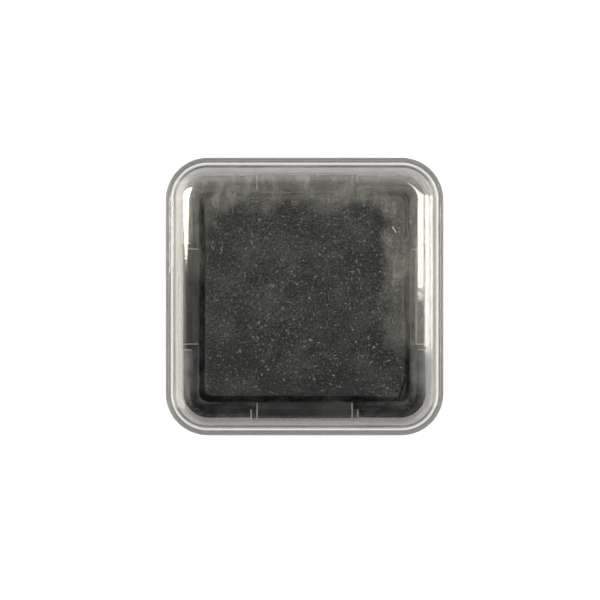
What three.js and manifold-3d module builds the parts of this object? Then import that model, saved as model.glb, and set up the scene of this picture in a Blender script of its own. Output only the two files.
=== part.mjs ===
// A square craft ink pad in a clear lift-off case.
//
// The case is two clear polystyrene mouldings: a base, with a flange that the lid stands on, a collar that
// centres the lid and four clips, and a lid that lifts straight off. A black pad tray clips into the base.
// In the tray a sheet of adhesive holds a felt ink reservoir, and a fine foam pad lies on the reservoir and
// stands proud of the tray, so that a stamp meets only foam.
//
// Millimetres, +Z up. The origin is the middle of the footprint, on the surface that the base stands on.

import * as THREE from "three";
import { mergeVertices } from "three/addons/utils/BufferGeometryUtils.js";
import Module from "manifold-3d";

const wasm = await Module();
wasm.setup();

// ---- Driving dimensions ----

const CASE_WIDTH = 40.2; // across the base's flange, which is the widest thing on the case
const CASE_HEIGHT = 18;
const CASE_CORNER = 6.3; // corner radius of the flange, seen from above
const WALL = 1.1; // thickness of the lid's walls and top
const PAD_WIDTH = 28.6; // of the foam and of the reservoir below it
const SIT = 0.05; // left between two pieces where one rests on the other
const SLIDE = 0.1; // left between two pieces where one slides past the other
const CORNER_STEPS = 10; // straight steps in each quarter round, seen from above
const SIDES = 4; // every feature on a side of the case is on all four

// ---- Worked out from them ----

const flange = { half: CASE_WIDTH / 2, corner: CASE_CORNER, top: 1.6, edge: 0.4 };
const foot = { width: 2.1, depth: 0.4 }; // the rim under the flange that the pad stands on

// The lid's top edge is rounded over softly, wider than it is deep, on the outside and on the inside.
const lid = { half: flange.half - 0.3, corner: flange.corner - 0.3 };
lid.edge = { width: 3.8, drop: 2.4 };
lid.innerEdge = { width: lid.edge.width - WALL, drop: 1.5 };
lid.bottom = flange.top + SLIDE;
lid.innerHalf = lid.half - WALL;
lid.innerCorner = lid.corner - WALL;
lid.ceiling = CASE_HEIGHT - WALL;

const collar = { thickness: 0.7, gap: 0.3, top: 6.4 };
collar.half = lid.innerHalf - collar.gap;
collar.corner = lid.innerCorner - collar.gap;
collar.innerHalf = collar.half - collar.thickness;
collar.innerCorner = collar.corner - collar.thickness;

// A rounded bar on each outer face of the collar, which the lid's wall grips as it is pushed down.
const grip = { length: 15, radius: 0.5, height: 4.2 };
grip.proud = collar.gap - SLIDE;

// The tray is a dish whose wall carries an outward rim, one step below the lip of the wall.
const tray = { half: collar.innerHalf - 0.15, corner: collar.innerCorner - 0.15, wall: 1.0, top: 12 };
const rim = { width: 1.4, thickness: 0.9, top: tray.top - 0.5, edge: 0.45 };
tray.bottom = flange.top + SIT;
tray.floor = tray.bottom + tray.wall;
tray.wallHalf = tray.half - rim.width;
tray.wallCorner = tray.corner - rim.width;
tray.innerHalf = tray.wallHalf - tray.wall;
tray.innerCorner = tray.wallCorner - tray.wall;

// A clip rises through a notch in the middle of each side of the rim, and hooks over the lip.
const notch = { half: 7.8, face: tray.half - 1.3 };
const clip = { length: 2 * (notch.half - SLIDE), thickness: 1.1, hook: 1.1, hookHeight: 1.6, nose: 0.25 };
clip.inner = notch.face + SLIDE;
clip.outer = clip.inner + clip.thickness;
clip.hookLength = clip.length - 1.6;
clip.hookBottom = tray.top + SLIDE;
clip.rampSlope = (clip.hookHeight - clip.nose) / (clip.thickness + clip.hook);

const adhesive = { width: PAD_WIDTH - 0.6, bottom: tray.floor + SIT, thickness: 0.15, corner: 0.8 };
const reservoir = { bottom: adhesive.bottom + adhesive.thickness + SIT, top: 9.5, corner: 1 };
const foam = { bottom: reservoir.top + SIT, top: 15.6, corner: 1, edge: 0.7 };

// ---- Shapes ----

// A square seen from above with rounded corners. A cut, where it is given, takes a bite out of the middle
// of each side: it is 2 * cut.half long, and its floor stands cut.face from the middle of the square.
function squareOutline(half, corner, cut) {
  const outline = new THREE.Shape();
  const arcCentre = half - corner;
  for (let side = 0; side < SIDES; side++) {
    const turn = (side * Math.PI) / 2;
    const toPoint = (out, along) => [
      out * Math.cos(turn) - along * Math.sin(turn),
      out * Math.sin(turn) + along * Math.cos(turn),
    ];
    if (side === 0) outline.moveTo(...toPoint(half, -arcCentre));
    if (cut) {
      outline.lineTo(...toPoint(half, -cut.half));
      outline.lineTo(...toPoint(cut.face, -cut.half));
      outline.lineTo(...toPoint(cut.face, cut.half));
      outline.lineTo(...toPoint(half, cut.half));
    }
    outline.lineTo(...toPoint(half, arcCentre));
    const [x, y] = toPoint(arcCentre, arcCentre);
    outline.absarc(x, y, corner, turn, turn + Math.PI / 2, false);
  }
  return outline;
}

function slab(outline, bottom, top) {
  const geometry = new THREE.ExtrudeGeometry(outline, {
    depth: top - bottom,
    bevelEnabled: false,
    curveSegments: CORNER_STEPS,
  });
  return geometry.translate(0, 0, bottom);
}

// A slab whose top edge is rounded over, that wide and that deep. Its lower edge, rounded too, is sawn off.
function roundedSlab(outline, bottom, top, width, drop = width) {
  const geometry = new THREE.ExtrudeGeometry(outline, {
    depth: top - bottom,
    bevelThickness: drop,
    bevelSize: width,
    bevelOffset: -width,
    bevelSegments: width > 1 ? 8 : 4,
    curveSegments: CORNER_STEPS,
  });
  geometry.translate(0, 0, bottom - drop);
  const sawDepth = 2 * drop;
  const saw = new THREE.BoxGeometry(2 * CASE_WIDTH, 2 * CASE_WIDTH, sawDepth);
  saw.translate(0, 0, bottom - sawDepth / 2);
  return solidOf(geometry).subtract(solidOf(saw));
}

// The same geometry on each of the four sides, made for the side that faces +X.
function onEachSide(geometry) {
  return Array.from({ length: SIDES }, (_, side) =>
    solidOf(geometry.clone().rotateZ((side * Math.PI) / 2)),
  );
}

// ---- Solids for cutting and joining ----

function solidOf(geometry) {
  const bare = geometry.clone();
  bare.deleteAttribute("normal");
  bare.deleteAttribute("uv");
  const merged = mergeVertices(bare, 1e-4);
  return new wasm.Manifold(
    new wasm.Mesh({
      numProp: 3,
      vertProperties: merged.getAttribute("position").array,
      triVerts: new Uint32Array(merged.index.array),
    }),
  );
}

function geometryOf(solid) {
  const mesh = solid.getMesh();
  const geometry = new THREE.BufferGeometry();
  geometry.setAttribute("position", new THREE.BufferAttribute(mesh.vertProperties, 3));
  geometry.setIndex(new THREE.BufferAttribute(mesh.triVerts, 1));
  geometry.computeVertexNormals();
  return geometry;
}

// ---- The pieces ----

// The upside-down cup that covers the pad: a rounded block less its cavity.
function lidGeometry() {
  const outline = squareOutline(lid.half, lid.corner);
  const block = roundedSlab(outline, lid.bottom, CASE_HEIGHT, lid.edge.width, lid.edge.drop);
  const inside = squareOutline(lid.innerHalf, lid.innerCorner);
  const inner = lid.innerEdge;
  const cavity = roundedSlab(inside, lid.bottom - 1, lid.ceiling, inner.width, inner.drop);
  return geometryOf(block.subtract(cavity));
}

// A clip is a straight tongue, rooted in the flange, and a shorter hook on its inner face. The tops of both
// lie on one ramp, so that the tray pushes the clip aside on its way down.
function rampHeight(reach) {
  return clip.hookBottom + clip.hookHeight - clip.rampSlope * (clip.outer - reach);
}

// Extrudes a side view, drawn with its Y as the height, along the side of the case that faces +X.
function alongSide(profile, length) {
  const geometry = new THREE.ExtrudeGeometry(profile, { depth: length, bevelEnabled: false });
  return geometry.translate(0, 0, -length / 2).rotateX(Math.PI / 2);
}

function tongueGeometry() {
  const root = flange.top - 0.3;
  const profile = new THREE.Shape();
  profile.moveTo(clip.inner, root);
  profile.lineTo(clip.outer, root);
  profile.lineTo(clip.outer, rampHeight(clip.outer));
  profile.lineTo(clip.inner, rampHeight(clip.inner));
  return alongSide(profile, clip.length);
}

function hookGeometry() {
  const heel = clip.inner + clip.thickness / 2; // inside the tongue, so that the two join
  const nose = clip.inner - clip.hook;
  const profile = new THREE.Shape();
  profile.moveTo(nose, clip.hookBottom);
  profile.lineTo(heel, clip.hookBottom);
  profile.lineTo(heel, rampHeight(heel));
  profile.lineTo(nose, rampHeight(nose));
  return alongSide(profile, clip.hookLength);
}

// A cylinder's own axis is Y, which runs along the side that faces +X.
function gripGeometry() {
  const bar = new THREE.CylinderGeometry(grip.radius, grip.radius, grip.length, 16);
  return bar.translate(collar.half + grip.proud - grip.radius, 0, grip.height);
}

// Flange, collar, grip bars and clips are one moulding.
function baseGeometry() {
  const footHalf = flange.half - foot.width;
  const footCorner = flange.corner - foot.width;
  const hollow = slab(squareOutline(footHalf, footCorner), -1, foot.depth);
  const collarRing = squareOutline(collar.half, collar.corner);
  collarRing.holes.push(squareOutline(collar.innerHalf, collar.innerCorner));
  const collarRoot = flange.top - 0.3;
  let base = roundedSlab(squareOutline(flange.half, flange.corner), 0, flange.top, flange.edge);
  base = base.subtract(solidOf(hollow));
  base = base.add(solidOf(slab(collarRing, collarRoot, collar.top)));
  for (const geometry of [gripGeometry(), tongueGeometry(), hookGeometry()]) {
    for (const solid of onEachSide(geometry)) base = base.add(solid);
  }
  return geometryOf(base);
}

// A square dish with an outward rim, notched for the base's clips.
function trayGeometry() {
  const dish = slab(squareOutline(tray.wallHalf, tray.wallCorner), tray.bottom, tray.top);
  const rimOutline = squareOutline(tray.half, tray.corner, notch);
  const rimSlab = roundedSlab(rimOutline, rim.top - rim.thickness, rim.top, rim.edge);
  const inside = slab(squareOutline(tray.innerHalf, tray.innerCorner), tray.floor, tray.top + 1);
  return geometryOf(solidOf(dish).add(rimSlab).subtract(solidOf(inside)));
}

function adhesiveGeometry() {
  const outline = squareOutline(adhesive.width / 2, adhesive.corner);
  return slab(outline, adhesive.bottom, adhesive.bottom + adhesive.thickness);
}

function reservoirGeometry() {
  return slab(squareOutline(PAD_WIDTH / 2, reservoir.corner), reservoir.bottom, reservoir.top);
}

function foamGeometry() {
  const outline = squareOutline(PAD_WIDTH / 2, foam.corner);
  return geometryOf(roundedSlab(outline, foam.bottom, foam.top, foam.edge));
}

// ---- Materials ----

const clearPolystyrene = new THREE.MeshStandardMaterial({
  color: 0xf1f0ea,
  roughness: 0.08,
  metalness: 0,
  transparent: true,
  opacity: 0.3,
});
const blackPolystyrene = new THREE.MeshStandardMaterial({
  color: 0x17181a,
  roughness: 0.25,
  metalness: 0,
});
const inkedFoam = new THREE.MeshStandardMaterial({ color: 0x26292a, roughness: 0.7, metalness: 0 });
const inkedFelt = new THREE.MeshStandardMaterial({ color: 0x141517, roughness: 0.95, metalness: 0 });
const tape = new THREE.MeshStandardMaterial({ color: 0xe4e0d2, roughness: 0.5, metalness: 0 });

// ---- Assembly ----

function piece(name, geometry, material) {
  const mesh = new THREE.Mesh(geometry, material);
  mesh.name = name;
  return mesh;
}

const inkPad = new THREE.Group();
inkPad.add(
  piece("base", baseGeometry(), clearPolystyrene),
  piece("pad_tray", trayGeometry(), blackPolystyrene),
  piece("reservoir_adhesive", adhesiveGeometry(), tape),
  piece("ink_reservoir", reservoirGeometry(), inkedFelt),
  piece("foam_pad", foamGeometry(), inkedFoam),
  piece("lid", lidGeometry(), clearPolystyrene),
);

export default inkPad;
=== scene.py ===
from math import cos, pi, radians, sin, sqrt, tan

import bmesh
import bpy
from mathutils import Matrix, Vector, noise


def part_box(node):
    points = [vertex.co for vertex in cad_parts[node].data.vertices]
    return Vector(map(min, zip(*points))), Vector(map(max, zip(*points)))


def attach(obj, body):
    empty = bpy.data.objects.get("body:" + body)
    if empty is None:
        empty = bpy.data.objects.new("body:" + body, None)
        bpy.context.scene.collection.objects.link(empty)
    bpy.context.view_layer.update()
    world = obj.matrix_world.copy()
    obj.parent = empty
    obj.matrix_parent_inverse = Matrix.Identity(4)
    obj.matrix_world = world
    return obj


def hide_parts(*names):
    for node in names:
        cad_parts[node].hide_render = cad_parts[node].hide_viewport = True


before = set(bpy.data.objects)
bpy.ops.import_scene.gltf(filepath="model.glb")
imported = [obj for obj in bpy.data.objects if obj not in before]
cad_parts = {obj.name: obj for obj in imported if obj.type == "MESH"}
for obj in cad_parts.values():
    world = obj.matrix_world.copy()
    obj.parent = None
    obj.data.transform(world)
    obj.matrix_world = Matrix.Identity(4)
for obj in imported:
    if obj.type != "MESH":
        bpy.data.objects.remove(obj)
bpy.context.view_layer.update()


# ---------------------------------------------------------------------------------------------------------
# Base. The lower half of the case, one clear polystyrene moulding. It has a flange that the lid stands on,
# a low collar that centres the lid, a grip bar on each side of the collar, and four clips for the tray.
# The mould leaves every edge with a small round.

MM = 0.001
# Places within a hair of each other are in line, faces within flush are level, and corners within weld merge.
hair, flush, weld = 0.01 * MM, 0.001 * MM, 0.0001 * MM
along_x, along_y, up = Vector((1, 0, 0)), Vector((0, 1, 0)), Vector((0, 0, 1))


def rounded_square(half, corner, height, steps=24):
    """One face, a square with round corners, facing up at that height."""
    bm = bmesh.new()
    bmesh.ops.create_grid(bm, x_segments=1, y_segments=1, size=half)
    bmesh.ops.bevel(
        bm, geom=bm.verts[:], offset=corner, segments=steps, profile=0.5, affect="VERTICES", material=-1
    )
    bmesh.ops.translate(bm, verts=bm.verts[:], vec=(0, 0, height))
    return bm


def inset_middle(bm, width, rise=0.0):
    """Cuts a ring of that width off the border of the widest face, and lifts the middle by rise."""
    middle = max(bm.faces, key=lambda face: face.calc_area())
    bmesh.ops.inset_region(
        bm, faces=[middle], thickness=width, depth=rise, use_even_offset=True, use_boundary=True
    )


def reaches(place):
    """How far out a place lies along x and along y, the lesser first."""
    return sorted((abs(place.x), abs(place.y)))


def flat_faces(bm, height, reach, beyond=0.0):
    """The level faces at that height that lie within reach of the middle, with their centre past beyond."""
    found = []
    for face in bm.faces:
        level = all(abs(v.co.z - height) < flush for v in face.verts)
        furthest = max(reaches(v.co)[1] for v in face.verts)
        if level and furthest < reach + flush and reaches(face.calc_center_median())[1] >= beyond:
            found.append(face)
    return found


def nearest(faces, place):
    """The face whose centre is closest to that place."""
    return min(faces, key=lambda face: (face.calc_center_median() - place).length)


def with_edges(faces):
    """Faces with their edges and corners, which is what operators need to leave no face inside the solid."""
    return faces + list({e for f in faces for e in f.edges}) + list({v for f in faces for v in f.verts})


def corners_of(faces):
    """The corners of those faces, each once."""
    return list({v for face in faces for v in face.verts})


def pull(bm, faces, vec):
    """Extrudes faces by vec, and returns them at their new place."""
    grown = bmesh.ops.extrude_face_region(bm, geom=with_edges(faces))["geom"]
    moved = [g for g in grown if isinstance(g, bmesh.types.BMFace)]
    bmesh.ops.translate(bm, verts=corners_of(moved), vec=vec)
    return moved


def slice_faces(bm, faces, cuts):
    """Cuts faces on planes, each given as a point on it and its normal, and returns the pieces."""
    for place, across in cuts:
        cut = bmesh.ops.bisect_plane(bm, geom=with_edges(faces), plane_co=place, plane_no=across, dist=weld)
        faces = [g for g in cut["geom"] if isinstance(g, bmesh.types.BMFace)]
    return faces


def cut_across(bm, faces, places):
    """Cuts faces on upright planes at x and at y equal to each of those places, and to its opposite."""
    both_ways = [s * place for place in places for s in (-1, 1)]
    return slice_faces(bm, faces, [(axis * at, axis) for axis in (along_x, along_y) for at in both_ways])


def as_object(name, bm, *materials):
    """The bmesh as a smooth-shaded object in the scene, with those materials."""
    for face in bm.faces:
        face.smooth = True
    mesh = bpy.data.meshes.new(name)
    bm.to_mesh(mesh)
    bm.free()
    for material in materials:
        mesh.materials.append(material)
    thing = bpy.data.objects.new(name, mesh)
    bpy.context.scene.collection.objects.link(thing)
    return thing


def finished(name, bm, body, materials, edge, node):
    """The bmesh as a piece with every sharp edge rounded over, standing for that node."""
    bmesh.ops.remove_doubles(bm, verts=bm.verts[:], dist=weld)
    bmesh.ops.recalc_face_normals(bm, faces=bm.faces[:])
    piece = as_object(name, bm, *materials)
    rounding = piece.modifiers.new("edge rounding", "BEVEL")
    rounding.width = edge
    rounding.segments = 3
    rounding.limit_method = "ANGLE"
    rounding.angle_limit = radians(35)
    flats = piece.modifiers.new("true flats", "WEIGHTED_NORMAL")
    flats.keep_sharp = True
    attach(piece, body)
    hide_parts(node)
    return piece


class Nodes:
    """The shader of a material or of the world, and the patterns that feed it."""

    def __init__(self, owner, shader="Principled BSDF"):
        owner.use_nodes = True
        self.owner = owner
        self.tree = owner.node_tree
        self.shader = self.tree.nodes[shader]
        self.coordinates = self.add("ShaderNodeTexCoord").outputs
        self.place = self.coordinates["Object"]

    def fill(self, node, inputs):
        """Sets a node's inputs, or links them where the value is the output of another node."""
        for key, value in inputs.items():
            if isinstance(value, bpy.types.NodeSocket):
                self.tree.links.new(value, node.inputs[key])
            else:
                node.inputs[key].default_value = value

    def add(self, kind, inputs=None, **settings):
        """A new node."""
        node = self.tree.nodes.new(kind)
        for key, value in settings.items():
            setattr(node, key, value)
        self.fill(node, inputs or {})
        return node

    def feed(self, **inputs):
        """Fills the shader's own inputs. An underscore stands for the space in an input's name."""
        self.fill(self.shader, {key.replace("_", " "): value for key, value in inputs.items()})

    def noise(self, scale, detail, roughness=0.5, at=None):
        """Cloudy noise from 0 to 1, over the object or over the place given."""
        inputs = {"Vector": at or self.place, "Scale": scale, "Detail": detail, "Roughness": roughness}
        return self.add("ShaderNodeTexNoise", inputs).outputs["Fac"]

    def calc(self, operation, a, b=0.0):
        """Arithmetic on two values."""
        return self.add("ShaderNodeMath", {0: a, 1: b}, operation=operation).outputs[0]

    def axes(self, vector=None):
        """The x, y and z of a vector, or of the place on the object."""
        return self.add("ShaderNodeSeparateXYZ", {"Vector": vector or self.place}).outputs

    def spread(self, value, low, high, least=0.0, most=1.0, **settings):
        """The value from low to high, drawn out to run from least to most."""
        ends = {"Value": value, "From Min": low, "From Max": high, "To Min": least, "To Max": most}
        return self.add("ShaderNodeMapRange", ends, **settings).outputs["Result"]

    def shades(self, value, dark, pale, low=0.0, high=1.0):
        """The colour dark where the value is low, pale where it is high, and between them in between."""
        ramp = self.add("ShaderNodeValToRGB", {"Fac": value})
        for element, position, colour in zip(ramp.color_ramp.elements, (low, high), (dark, pale)):
            element.position = position
            element.color = (*colour, 1)
        return ramp.outputs["Color"]

    def mix(self, factor, a, b, **settings):
        """One value or colour laid over another by the factor."""
        return self.add("ShaderNodeMix", {"Factor": factor, "A": a, "B": b}, **settings).outputs["Result"]

    def bumps(self, height, strength, distance):
        """Normals for a surface that rises and falls with the height."""
        inputs = {"Height": height, "Strength": strength, "Distance": distance}
        return self.add("ShaderNodeBump", inputs).outputs["Normal"]


def new_material(name):
    """The nodes of a new material."""
    return Nodes(bpy.data.materials.new(name))


polystyrene_ior = 1.59


def clear_polystyrene(name, tint):
    """Clear moulded plastic that has been handled: faintly streaked, uneven in gloss, and grey in depth."""
    look = new_material(name)
    smear = look.noise(140.0, 5.0, 0.6)
    waves = look.noise(260.0, 6.0, 0.55)
    look.feed(
        Transmission_Weight=1.0,
        IOR=polystyrene_ior,
        Roughness=look.spread(smear, 0.45, 0.75, 0.01, 0.05),
        Base_Color=look.shades(smear, [c * 0.97 for c in tint], tint, 0.35, 0.7),
        Normal=look.bumps(waves, 0.06, 0.2 * MM),
    )
    depth = look.add("ShaderNodeVolumeAbsorption", {"Color": (0.55, 0.54, 0.47, 1), "Density": 62.0})
    look.fill(look.tree.nodes["Material Output"], {"Volume": depth.outputs["Volume"]})
    return look.owner


base_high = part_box("base")[1]
lid_low, lid_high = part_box("lid")
tray_low, tray_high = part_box("pad_tray")

flange_half = base_high.x
flange_corner = 6.3 * MM
flange_top = 1.6 * MM
foot_width = 2.1 * MM
foot_depth = 0.4 * MM
lid_wall = 1.1 * MM
collar_half = lid_high.x - lid_wall - 0.3 * MM
collar_thick = 0.7 * MM
collar_inner = collar_half - collar_thick
collar_top = 6.4 * MM
grip_half = 7.5 * MM
grip_height = 4.2 * MM
grip_foot = 0.45 * MM
grip_taper = 0.4
grip_proud = 0.2 * MM
clip_half = 7.7 * MM
hook_half = 6.9 * MM
clip_inner = tray_high.x - 1.2 * MM
clip_outer = clip_inner + 1.1 * MM
clip_hook = 1.1 * MM
clip_top = base_high.z
hook_height = 1.6 * MM
hook_under = clip_top - hook_height
nose_height = 0.25 * MM

bm = rounded_square(flange_half, flange_corner, flange_top)
inset_middle(bm, flange_half - collar_half)
inset_middle(bm, collar_thick)
# Reach goes by the greater of x and y, so the faces at the middle of each round corner fall short and are
# taken as floor. The collar is open there, for about 1.7 mm.
floor = flat_faces(bm, flange_top, collar_inner)
collar_reach = collar_inner - 0.5 * MM
collar_ring = [f for f in flat_faces(bm, flange_top, collar_half, collar_reach) if f not in floor]
floor = cut_across(bm, floor, (clip_half, clip_inner, clip_outer))
pull(bm, collar_ring, (0, 0, collar_top - flange_top))

# Each side of the case: the way out to it, and the way along it.
ways_out = [Vector((cos(side * pi / 2), sin(side * pi / 2), 0)) for side in range(4)]
sides = [(out, Vector((-out.y, out.x, 0))) for out in ways_out]

# The clips: a tongue on each side, and a shorter hook on its inner face. Their tops lie on one ramp.
tongue_middle = (clip_inner + clip_outer) / 2
ramp = (hook_height - nose_height) / (clip_outer - clip_inner + clip_hook)
for out, along in sides:
    root = nearest(floor, out * tongue_middle + up * flange_top)
    floor.remove(root)
    tongue = pull(bm, [root], (0, 0, hook_under - flange_top))
    for v in corners_of(pull(bm, tongue, (0, 0, hook_height))):
        v.co.z -= ramp * (clip_outer - v.co.dot(out))
    bm.normal_update()
    hook_middle = out * clip_inner + up * (clip_top - hook_height / 2)
    inward = nearest(bm.faces, hook_middle)
    inner_faces = slice_faces(bm, [inward], [(along * s * hook_half, along) for s in (-1, 1)])
    for v in corners_of(pull(bm, [nearest(inner_faces, hook_middle)], -out * clip_hook)):
        if v.co.z > hook_under + hair:
            v.co.z -= ramp * clip_hook

# The ends of each clip are painted pale, a painted highlight in a line along the end of the hook and one
# along the tongue's.
crept_place, clip_highlight_place = 1, 2
clip_highlight_width = 0.15 * MM
bm.normal_update()
tops = [f for f in bm.faces if f.normal.z > 0.5 and f.calc_center_median().z > hook_under]
for face in cut_across(bm, tops, (hook_half - clip_highlight_width, hook_half, clip_half - clip_highlight_width)):
    end, reach = reaches(face.calc_center_median())
    if hook_half - clip_highlight_width < end < hook_half or (reach > clip_inner and end > clip_half - clip_highlight_width):
        face.material_index = clip_highlight_place

# The grip bars: a low ridge along the outer face of the collar's wall, which the lid's wall grips.
square_on = cos(radians(2.5))
bm.normal_update()
for out, along in sides:
    wall = []
    for face in bm.faces:
        centre = face.calc_center_median()
        if face.normal.dot(out) > square_on and centre.dot(out) > collar_inner and centre.z > flange_top:
            wall.append(face)
    cuts = [(up * (grip_height + s * grip_foot), up) for s in (-1, 1)]
    cuts += [(along * s * grip_half, along) for s in (-1, 1)]
    bar = nearest(slice_faces(bm, wall, cuts), out * collar_half + up * grip_height)
    for face in pull(bm, [bar], out * grip_proud):
        for v in face.verts:
            v.co.z = grip_height + (v.co.z - grip_height) * grip_taper

# The flange's edge and its underside, hollowed to leave the foot rim.
skirt = bmesh.ops.extrude_edge_only(bm, edges=[edge for edge in bm.edges if edge.is_boundary])["geom"]
lower = [g for g in skirt if isinstance(g, bmesh.types.BMVert)]
bmesh.ops.translate(bm, verts=lower, vec=(0, 0, -flange_top))
underside = bmesh.ops.contextual_create(bm, geom=[edge for edge in bm.edges if edge.is_boundary])["faces"]
bmesh.ops.inset_region(bm, faces=underside, thickness=foot_width, use_even_offset=True, use_boundary=True)
pull(bm, underside, (0, 0, foot_depth))

# Ink has crept up between the tray and three of the clips, and dried on the faces that it wets. The clip
# on the right is still clear.
bm.normal_update()
for face in bm.faces:
    centre = face.calc_center_median()
    looks_inward = face.normal.xy.dot(centre.xy) < -0.5 * centre.xy.length
    faces_pad = looks_inward and abs(reaches(centre)[1] - clip_inner) < hair
    under_hook = abs(centre.z - hook_under) < hair
    if centre.z > flange_top and centre.x < clip_inner / 2 and (faces_pad or under_hook):
        face.material_index = crept_place

crept = new_material("crept ink")
cloud = crept.noise(700.0, 4.0)
crept.feed(Base_Color=crept.shades(cloud, (0.03, 0.031, 0.034), (0.09, 0.09, 0.088)), Roughness=0.35)

# The pale colour on the clip ends is a painted highlight.
clip_highlight = new_material("polystyrene with painted highlight")
highlight_grain = clip_highlight.noise(2400.0, 3.0)
clip_highlight.feed(Base_Color=clip_highlight.shades(highlight_grain, (0.30, 0.30, 0.29), (0.92, 0.91, 0.88)), Roughness=0.6)

base_plastic = clear_polystyrene("base polystyrene", (0.96, 0.955, 0.94))
base_materials = [base_plastic, crept.owner, clip_highlight.owner]
base = finished("case_base", bm, "base", base_materials, 0.1 * MM, "base")


# ---------------------------------------------------------------------------------------------------------
# Pad tray. Black polystyrene, moulded as a square dish with an outward rim one step below its lip. The rim
# is notched for the clips. It has been wiped and touched with ink, which dries blue-black and uneven.

rim_half = tray_high.x
rim_corner = 3.75 * MM
rim_width = 1.4 * MM
rim_thick = 0.7 * MM
rim_drop = 0.45 * MM
rim_rings = 6
lip_width = 1.0 * MM
lip_rise = 0.5 * MM
notch_half = 7.8 * MM
notch_face = rim_half - 1.3 * MM
rim_top = tray_high.z - lip_rise
rim_under = rim_top - rim_thick
lip_half = rim_half - rim_width
dish_half = lip_half - lip_width
dish_floor = tray_low.z + 1.0 * MM

# The rim rolls over: it is level beside the lip and falls away faster and faster towards its edge.
bm = rounded_square(rim_half, rim_corner, rim_under - rim_drop)
for ring in range(rim_rings, 0, -1):
    rise = rim_drop * (ring**2 - (ring - 1) ** 2) / rim_rings**2
    inset_middle(bm, rim_width / rim_rings, rise)
inset_middle(bm, lip_width)
rim_ring = [face for face in bm.faces if any(reaches(v.co)[1] > lip_half + hair for v in face.verts)]
notches = []
for face in cut_across(bm, rim_ring, (notch_half, notch_face)):
    end, reach = reaches(face.calc_center_median())
    if reach > notch_face and end < notch_half:
        notches.append(face)
bmesh.ops.delete(bm, geom=notches, context="FACES")
pull(bm, bm.faces[:], (0, 0, rim_thick))
dish_mouth = flat_faces(bm, rim_top, dish_half)
lip_ring = [face for face in flat_faces(bm, rim_top, lip_half) if face not in dish_mouth]
dish_bottom = flat_faces(bm, rim_under, lip_half)
pull(bm, lip_ring, (0, 0, lip_rise))
pull(bm, dish_mouth, (0, 0, dish_floor - rim_top))
pull(bm, dish_bottom, (0, 0, tray_low.z - rim_under))

# The streaks run along each side. The tone is painted darker along the front and lighter over the rest,
# painted shade and painted light.
look = new_material("black polystyrene with dried ink")
axes = look.axes()
beside = look.calc("GREATER_THAN", *(look.calc("ABSOLUTE", axes[name]) for name in "XY"))
streaks = []
for stretch in ((1, 0.05, 1), (0.05, 1, 1)):
    stretched = look.add("ShaderNodeMapping", {"Vector": look.place, "Scale": stretch}).outputs["Vector"]
    streaks.append(look.noise(1100.0, 5.0, at=stretched))
smears = look.noise(330.0, 4.0, 0.65)
wiped = look.mix(0.45, look.mix(beside, streaks[1], streaks[0]), smears)
tone = look.shades(wiped, (0.016, 0.017, 0.020), (0.085, 0.088, 0.084), 0.38, 0.62)
# Painted shade along the front and painted light over the rest of the tray.
painted_light_and_shade = look.spread(axes["Y"], -14.5 * MM, -12.0 * MM, 0.32, 1.9)
look.feed(
    Base_Color=look.add("ShaderNodeVectorMath", {0: tone, 1: painted_light_and_shade}, operation="MULTIPLY").outputs["Vector"],
    Roughness=look.spread(wiped, 0.4, 0.6, 0.16, 0.34),
    Normal=look.bumps(wiped, 0.12, 0.1 * MM),
)
tray = finished("ink_tray", bm, "base", [look.owner], 0.1 * MM, "pad_tray")


# ---------------------------------------------------------------------------------------------------------
# Adhesive film. A die-cut sheet of double-sided film that holds the felt down in the tray, sealed in and
# never seen in use.

film = new_material("double-sided film")
cloud = film.noise(300.0, 3.0)
film.feed(Base_Color=film.shades(cloud, (0.62, 0.60, 0.52), (0.82, 0.80, 0.73)), Roughness=0.5)
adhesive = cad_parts["reservoir_adhesive"]
adhesive.data.materials.clear()
adhesive.data.materials.append(film.owner)


# ---------------------------------------------------------------------------------------------------------
# Ink reservoir. A block of pressed felt under the foam that stores the ink. Only its sides show, deep in
# the gap between the foam and the tray's wall, and they are soaked black.

felt_low, felt_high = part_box("ink_reservoir")
felt_corner = 1.0 * MM
fray_depth = 0.08 * MM
bm = rounded_square(felt_high.x - 0.15 * MM, felt_corner, felt_low.z, 6)
pull(bm, bm.faces[:], (0, 0, felt_high.z - felt_low.z))
upright = [edge for edge in bm.edges if abs(edge.verts[0].co.z - edge.verts[1].co.z) > MM]
bmesh.ops.subdivide_edges(bm, edges=upright, cuts=24, use_grid_fill=True)
bm.normal_update()
for v in bm.verts:
    if felt_low.z + hair < v.co.z < felt_high.z - hair:
        v.co += v.normal * noise.fractal(v.co * 1400, 1.0, 2.0, 3) * fray_depth

felt = new_material("soaked felt")
fibre = felt.noise(3000.0, 4.0, 0.7)
felt.feed(
    Base_Color=felt.shades(fibre, (0.010, 0.010, 0.013), (0.05, 0.052, 0.055), 0.4, 0.7),
    Roughness=0.9,
    Normal=felt.bumps(fibre, 0.8, 0.1 * MM),
)
reservoir = finished("felt_reservoir", bm, "base", [felt.owner], 0.1 * MM, "ink_reservoir")


# ---------------------------------------------------------------------------------------------------------
# Foam pad. Fine open-cell foam, die-cut and soaked with black ink. Its face is level but never quite flat,
# its edge is worn round, and the open cells break the surface everywhere.

foam_low, foam_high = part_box("foam_pad")
foam_half = foam_high.x - 0.1 * MM
foam_corner = 1.1 * MM
foam_edge = 0.7 * MM
foam_top = foam_high.z - 0.12 * MM
rim_height = foam_top - foam_edge
pore_depth = 0.035 * MM
wear_depth = 0.07 * MM
cells_across = 180
side_steps = 12


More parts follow.
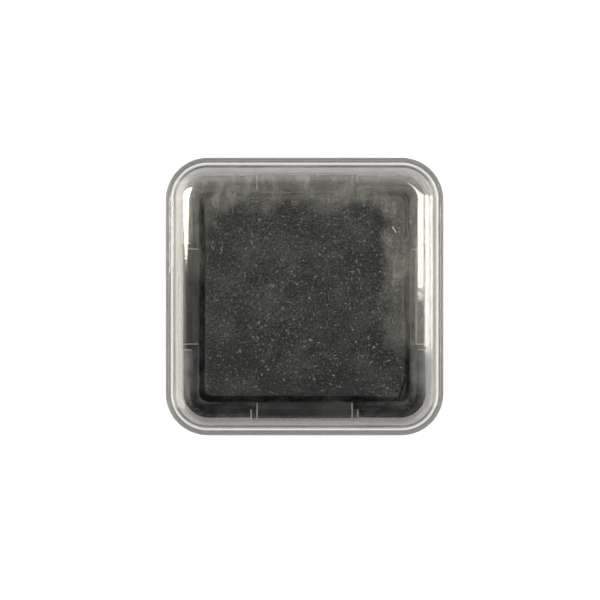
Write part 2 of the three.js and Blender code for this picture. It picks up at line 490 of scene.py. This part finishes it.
def rounded_grid(half, corner, segments):
    """A level grid with round corners, and how far each of its vertices lies inside its outline."""
    bm = bmesh.new()
    bmesh.ops.create_grid(bm, x_segments=segments, y_segments=segments, size=half)
    inside = {}
    for v in bm.verts:
        past = Vector([max(0, abs(place) - half + corner) for place in v.co.xy])
        inside[v] = half - reaches(v.co)[1]
        if past.x > 0 and past.y > 0:
            # In a corner, squares round its centre become circles.
            past *= max(past) / past.length
            v.co.x = (half - corner + past.x) * (1 if v.co.x > 0 else -1)
            v.co.y = (half - corner + past.y) * (1 if v.co.y > 0 else -1)
            inside[v] = corner - past.length
    return bm, inside


bm, inside = rounded_grid(foam_half, foam_corner, cells_across)
for v in bm.verts:
    over = min(foam_edge, max(0, foam_edge - inside[v]))
    drop = foam_edge - sqrt(foam_edge**2 - over**2)
    v.co.z = foam_top - drop
border = [edge for edge in bm.edges if edge.is_boundary]
for step in range(side_steps):
    grown = bmesh.ops.extrude_edge_only(bm, edges=border)["geom"]
    lower = [g for g in grown if isinstance(g, bmesh.types.BMVert)]
    bmesh.ops.translate(bm, verts=lower, vec=(0, 0, (foam_low.z - rim_height) / side_steps))
    border = [g for g in grown if isinstance(g, bmesh.types.BMEdge) and g.is_boundary]
bmesh.ops.contextual_create(bm, geom=border)
bmesh.ops.recalc_face_normals(bm, faces=bm.faces[:])
bm.normal_update()
moves = []
for v in bm.verts:
    pores = noise.fractal(v.co * 3200, 0.8, 2.1, 3) * pore_depth
    wear = noise.noise(v.co * 160 + Vector((3.1, 1.7, 0))) * wear_depth
    moves.append((v, v.normal * (pores + wear)))
for v, move in moves:
    if v.co.z > foam_low.z + hair:
        v.co += move

inked = new_material("inked open-cell foam")
cells = inked.add("ShaderNodeTexVoronoi", {"Vector": inked.place, "Scale": 5200.0, "Randomness": 1.0})
patches = inked.noise(130.0, 3.0, 0.6)
grain = inked.noise(3300.0, 3.0, 0.75)
speck = inked.noise(3000.0, 1.0)
# The foam is darker towards the front.
front_darkening = inked.spread(inked.axes()["Y"], -12 * MM, 0, -0.075, -0.012, interpolation_type="SMOOTHSTEP")
fleece = inked.calc("ADD", inked.calc("ADD", grain, inked.calc("MULTIPLY", patches, 0.30)), front_darkening)
tone = inked.shades(fleece, (0.0015, 0.002, 0.002), (0.092, 0.101, 0.100), 0.57, 0.78)
fleck = inked.spread(speck, 0.66, 0.76)
inked.feed(
    Base_Color=inked.mix(fleck, tone, (0.34, 0.355, 0.35, 1), data_type="RGBA"),
    Roughness=inked.spread(patches, 0.35, 0.65, 0.45, 0.75),
    Normal=inked.bumps(cells.outputs["Distance"], 0.9, 0.12 * MM),
)
foam = as_object("foam_face", bm, inked.owner)
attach(foam, "base")
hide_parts("foam_pad")


# ---------------------------------------------------------------------------------------------------------
# Lid. One clear polystyrene moulding, an upside-down cup with a wide round along its top edge. It drops
# over the collar and stands on the flange. Handling has left it streaked and uneven in gloss.

lid_corner = 6.0 * MM
edge_width = 3.8 * MM
edge_drop = 2.4 * MM
edge_rings = 18

bm = rounded_square(lid_high.x, lid_corner, lid_low.z)
pull(bm, bm.faces[:], (0, 0, lid_high.z - edge_drop - lid_low.z))
bmesh.ops.delete(bm, geom=flat_faces(bm, lid_low.z, lid_high.x), context="FACES_ONLY")
# The top edge is a quarter of an ellipse, from upright at the wall to level at the top.
for ring in range(edge_rings):
    before, after = (turn * pi / 2 / edge_rings for turn in (ring, ring + 1))
    inset_middle(bm, edge_width * (cos(before) - cos(after)), edge_drop * (sin(after) - sin(before)))
bmesh.ops.recalc_face_normals(bm, faces=bm.faces[:])
bmesh.ops.solidify(bm, geom=bm.faces[:], thickness=lid_wall)

# A fine dark line of painted shade runs along the bend inside, where the top turns down into the wall.
bend_shade_place = 1
bend_height = lid_high.z - 1.73 * MM
line_reach = 0.12 * MM
bm.normal_update()
for face in bm.faces:
    if face.normal.z < -0.3 and abs(face.calc_center_median().z - bend_height) < line_reach:
        face.material_index = bend_shade_place

# The dark line along the bend is painted shade.
bend_shade = new_material("painted shade along the bend")
broken = bend_shade.noise(180.0, 4.0)
bend_shade.feed(
    Transmission_Weight=1.0,
    IOR=polystyrene_ior,
    Base_Color=bend_shade.shades(broken, (0.05, 0.047, 0.047), (0.30, 0.285, 0.28), 0.35, 0.65),
    Roughness=0.1,
)

lid_plastic = clear_polystyrene("lid polystyrene", (0.97, 0.965, 0.95))
lid = finished("case_lid", bm, "lid", [lid_plastic, bend_shade.owner], 0.12 * MM, "lid")


# ---------------------------------------------------------------------------------------------------------
# Ink haze. Where the damp foam has touched the lid's underside it has left a thin smeared film of dried
# ink, thickest along the back and down the right-hand side, and thinner towards the back of the left. A pale
# fibre is stuck in it, and one run of ink has dried near the front.

haze_half = 17.3 * MM
haze_corner = haze_half - lid_high.x + lid_corner
haze_level = lid_high.z - lid_wall - 0.03 * MM
haze_ripple = 0.015 * MM
flat_width = haze_half - lid_high.x + edge_width
bend = 0.11
bm, inside = rounded_grid(haze_half, haze_corner, 90)
for v in bm.verts:
    # Past the flat of the ceiling the film follows the bend down.
    past = max(0, flat_width - inside[v])
    v.co.z = haze_level - abs(noise.noise(v.co * 900)) * haze_ripple - bend * past**2 / MM

film = new_material("smeared ink film")
blur = film.noise(260.0, 5.0, 0.65)
grain = film.noise(2600.0, 2.0, 0.6)
wander = film.calc("ADD", blur, -0.5)
sway = film.calc("MULTIPLY", wander, 0.009)
brushed = film.add("ShaderNodeMapping", {"Vector": film.place, "Scale": (1, 0.16, 1)}).outputs["Vector"]
strokes = film.noise(1000.0, 3.0, 0.6, at=brushed)
axes = film.axes()


def both(a, b):
    return film.calc("MULTIPLY", a, b)


def either(a, b):
    return film.calc("MAXIMUM", a, b)


def band(value, start, full):
    """0 before start and 1 past full, with an edge that wanders."""
    return film.spread(film.calc("ADD", value, sway), start * MM, full * MM, interpolation_type="SMOOTHSTEP")


def stroke(start, end, width):
    """1 on a short wandering line between two places, and 0 away from it."""
    start, end = Vector((*start, 0)) * MM, Vector((*end, 0)) * MM
    length = (end - start).length
    run = (end - start).normalized()
    across = Vector((-run.y, run.x, 0))
    from_middle = film.add("ShaderNodeVectorMath", {0: film.place, 1: -(start + end) / 2}).outputs["Vector"]
    reach, off = (
        film.add("ShaderNodeVectorMath", {0: from_middle, 1: way}, operation="DOT_PRODUCT").outputs["Value"]
        for way in (run, across)
    )
    off = film.calc("ADD", off, both(wander, 3.0 * width * MM))
    within_ends = film.spread(film.calc("ABSOLUTE", reach), length * 0.55, length * 0.45)
    within_sides = film.spread(film.calc("ABSOLUTE", off), width * 0.7 * MM, width * 0.3 * MM)
    return both(within_ends, within_sides)


back = band(axes["Y"], 11.0, 14.5)
right = both(band(axes["X"], 9.8, 11.8), band(axes["Y"], -9.0, -3.5))
left = both(band(both(axes["X"], -1.0), 12.5, 14.0), band(axes["Y"], -1.0, 7.0))
smear = either(either(back, both(right, 0.9)), both(left, 0.6))
smear = both(smear, film.spread(blur, 0.35, 0.62, 0.45, 1.0))
smear = both(smear, film.spread(strokes, 0.35, 0.65, 0.6, 1.1))
cover = either(smear, film.spread(blur, 0.45, 0.75, 0.0, 0.22))
cover = both(both(cover, film.spread(grain, 0.3, 0.7, 0.8, 1.2)), 0.66)
fibre_tail = stroke((13.0, 9.0), (13.1, 5.5), 0.14)
fibre = either(stroke((12.4, 9.9), (13.0, 9.0), 0.16), both(fibre_tail, 0.3))
ink_run = stroke((14.1, -11.2), (13.7, -14.4), 0.5)
tone = film.shades(blur, (0.34, 0.34, 0.31), (0.46, 0.46, 0.42))
paler = film.mix(fibre, tone, (0.8, 0.8, 0.76, 1), data_type="RGBA")
film.feed(
    Alpha=either(either(cover, both(fibre, 0.9)), both(ink_run, 0.8)),
    Base_Color=film.mix(ink_run, paler, (0.004, 0.004, 0.005, 1), data_type="RGBA"),
    Roughness=0.8,
    Specular_IOR_Level=0.1,
)
haze = as_object("ink_haze", bm, film.owner)
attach(haze, "lid")


# ---------------------------------------------------------------------------------------------------------
# Floor, light and camera. A pale table in a bright room with windows on both sides, and the camera close
# to straight above, so that the ceiling over it stays dim in the lid.

bm = bmesh.new()
bmesh.ops.create_grid(bm, x_segments=1, y_segments=1, size=2.0)
paper = new_material("pale table")
seen = paper.add("ShaderNodeLightPath").outputs["Is Camera Ray"]
paper.feed(
    Base_Color=(0.92, 0.92, 0.92, 1),
    Roughness=0.9,
    Emission_Color=(1, 1, 1, 1),
    Emission_Strength=paper.spread(seen, 0.0, 1.0, 0.12, 0.6),
)
table = as_object("table", bm, paper.owner)

# The room is dim overhead. Its walls are white beyond the table's edge, dimmer a little higher, and
# brightest towards the ceiling.
world = bpy.data.worlds.new("room")
bpy.context.scene.world = world
room = Nodes(world, "Background")
facing = room.coordinates["Generated"]
overhead = Vector((0, -0.32, 1)).normalized()
dim = room.add("ShaderNodeVectorMath", {0: facing, 1: overhead}, operation="DOT_PRODUCT").outputs["Value"]
height = room.axes(facing)["Z"]
wall_dim = 0.72
low_wall = room.spread(height, 0.08, 0.18, 1.0, wall_dim, interpolation_type="SMOOTHSTEP")
high_wall = room.spread(height, 0.3, 0.65, wall_dim, 1.2, interpolation_type="SMOOTHSTEP")
room.feed(
    Color=room.shades(dim, (1.0, 0.99, 0.985), (0.04, 0.04, 0.045), 0.82, 0.94),
    Strength=room.calc("MAXIMUM", low_wall, high_wall),
)


def window(name, angle, spread, near, far, brightness, shape="RECTANGLE", colour=(1.0, 0.975, 0.86)):
    """A bright pane for the lid's edges to mirror, that many degrees over to the right of straight up."""
    distance = 420 * MM
    pane = bpy.data.lights.new(name, "AREA")
    pane.shape = shape
    pane.size = 2 * distance * tan(radians(spread / 2))
    pane.size_y = (far - near) * MM
    pane.color = colour
    pane.energy = brightness * pi * pane.size * pane.size_y
    holder = bpy.data.objects.new(name, pane)
    turn = radians(angle)
    holder.location = (distance * sin(turn), (near + far) / 2 * MM, distance * cos(turn))
    holder.rotation_euler = (0, turn, 0)
    # The pane shows in reflections only, and casts no light or shadow on the table.
    holder.visible_diffuse = False
    bpy.context.scene.collection.objects.link(holder)


sunlit = (1.0, 0.95, 0.82)
window("left window", -20, 19, 12, 96, 12, "ELLIPSE")
window("left window, low", -86, 3, 8, 60, 16)
window("left wall, sunlit", -52, 44, -180, 260, 2.4, colour=sunlit)
window("right window, high", 14, 17, 2, 60, 9)
window("right window, middle", 31.5, 9.5, -17, 60, 9)
window("right window, low", 46, 8, -17, 60, 8)
window("right wall, sunlit", 68, 30, -180, 260, 1.9, colour=sunlit)

# Light bounces many times inside clear plastic before it leaves.
cycles = bpy.context.scene.cycles
cycles.max_bounces = 32
cycles.glossy_bounces = 16
cycles.transmission_bounces = 32

camera_data = bpy.data.cameras.new("camera")
camera = bpy.data.objects.new("camera", camera_data)
bpy.context.scene.collection.objects.link(camera)
bpy.context.scene.camera = camera
eye = Vector((-0.65 * MM, -0.5 * MM, lid_high.z + 330 * MM))
view_width = 84.9 * MM
camera.location = eye
camera_data.lens = camera_data.sensor_width * (eye.z - lid_high.z) / view_width
camera_data.clip_start = 0.01
bpy.context.scene.view_settings.view_transform = "Standard"
